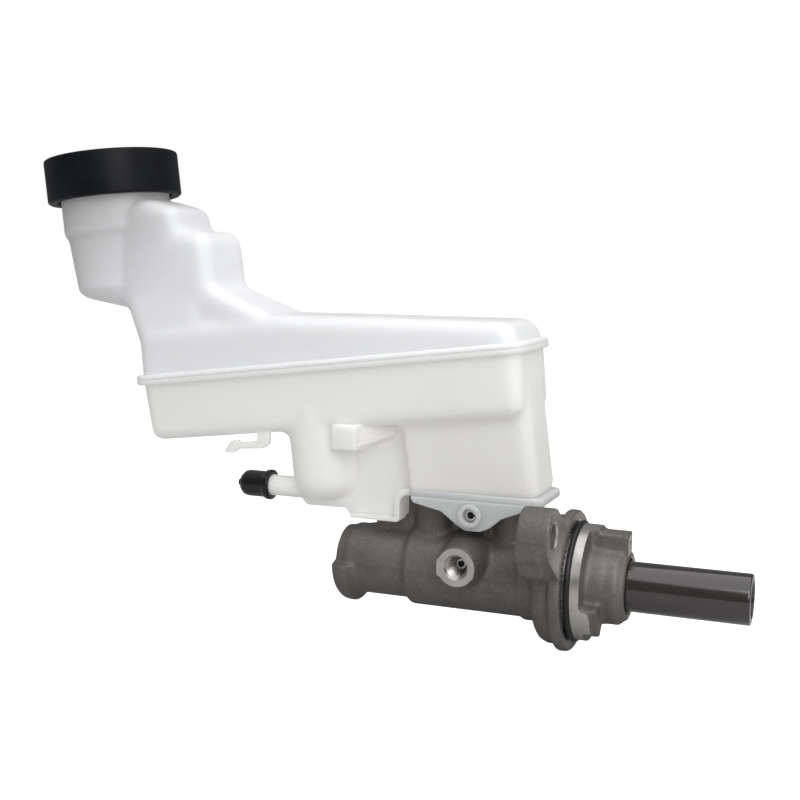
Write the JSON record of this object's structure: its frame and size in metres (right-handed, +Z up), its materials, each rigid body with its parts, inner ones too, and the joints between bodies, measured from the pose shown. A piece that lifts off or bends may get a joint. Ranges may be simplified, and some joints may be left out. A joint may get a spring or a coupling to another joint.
{
  "type": "tandem brake master cylinder",
  "caption": "Tandem plunger brake master cylinder with cast flanged body, sprung pistons and a translucent remote-fill reservoir with screw cap.",
  "frame": {"origin": "where the bore axis crosses the mounting face of the flange", "axes": "+X along the bore towards the brake booster, the pistons push towards -X, +Z up"},
  "size_m": [0.3549, 0.1136, 0.2269],
  "materials": {
    "cast_housing": "as-cast, bead blasted, with machined faces",
    "black_rubber": "satin",
    "brass_seat": "machined",
    "steel": "bright zinc",
    "dark_piston": "hard anodised, polished",
    "spring_steel": "phosphated wire",
    "white_pom": "satin",
    "reservoir_plastic": "milky translucent, satin",
    "cap_plastic": "fine moulded texture",
    "magnet": "sintered ferrite"
  },
  "bodies": {
    "housing": {"cylinder_housing": "cast_housing", "flange_o_ring": "black_rubber", "port_seats": "brass_seat", "passage_ball": "steel", "secondary_spring": "spring_steel", "secondary_spring_seat": "white_pom", "primary_cup": "black_rubber", "secondary_cup": "black_rubber", "separator_cup": "black_rubber", "rear_cup": "black_rubber", "piston_guide": "white_pom", "retaining_ring": "steel", "reservoir_grommets": "black_rubber", "reservoir_pin": "steel", "reservoir_lower_shell": "reservoir_plastic", "reservoir_upper_shell": "reservoir_plastic", "tray_baffles": "reservoir_plastic", "filler_strainer": "white_pom", "reed_switch": "cap_plastic", "switch_terminals": "brass_seat"},
    "primary_piston_group": {"primary_piston": "dark_piston", "primary_spring": "spring_steel", "cage_sleeve": "steel"},
    "secondary_piston_group": {"secondary_piston": "dark_piston", "cage_bolt": "steel"},
    "cap_seal": {"cap_diaphragm": "black_rubber"},
    "cap_washer": {"cap_slip_washer": "white_pom"},
    "cap": {"filler_cap": "cap_plastic"},
    "float": {"level_float": "white_pom", "float_magnet": "magnet"},
    "nipple_plug": {"nipple_cap": "black_rubber"}
  },
  "joints": [
    {"name": "primary_piston_stroke", "type": "slide", "parent": "housing", "child": "primary_piston_group", "axis": [-1, 0, 0], "range_m": [0, 0.026], "stiffness_N_per_m": 2500, "springref_m": -0.024, "deforming": ["primary_spring", "secondary_spring"]},
    {"name": "secondary_piston_stroke", "type": "slide", "parent": "housing", "child": "secondary_piston_group", "axis": [-1, 0, 0], "range_m": [0, 0.013]},
    {"name": "cap_lift_off", "type": "slide", "parent": "housing", "child": "cap_seal", "axis": [-0.1219, 0, 0.9925], "range_m": [0, 0.08]},
    {"name": "cap_thread_rise", "type": "slide", "parent": "cap_seal", "child": "cap_washer", "axis": [-0.1219, 0, 0.9925], "range_m": [0, 0.006]},
    {"name": "cap_turn", "type": "hinge", "parent": "cap_washer", "child": "cap", "pos_m": [-0.2427, 0, 0.16986], "axis": [-0.1219, 0, 0.9925], "range_deg": [0, 540]},
    {"name": "level_float_rise", "type": "slide", "parent": "housing", "child": "float", "axis": [-0.1219, 0, 0.9925], "range_m": [0, 0.012]},
    {"name": "nipple_cap_pull", "type": "slide", "parent": "housing", "child": "nipple_plug", "axis": [-1, 0, 0], "range_m": [0, 0.02]}
  ],
  "couplings": [
    {"joint": "secondary_piston_stroke", "follows": "primary_piston_stroke", "ratio": 0.5},
    {"joint": "cap_thread_rise", "follows": "cap_turn", "m_per_rad": 0.00063656}
  ]
}
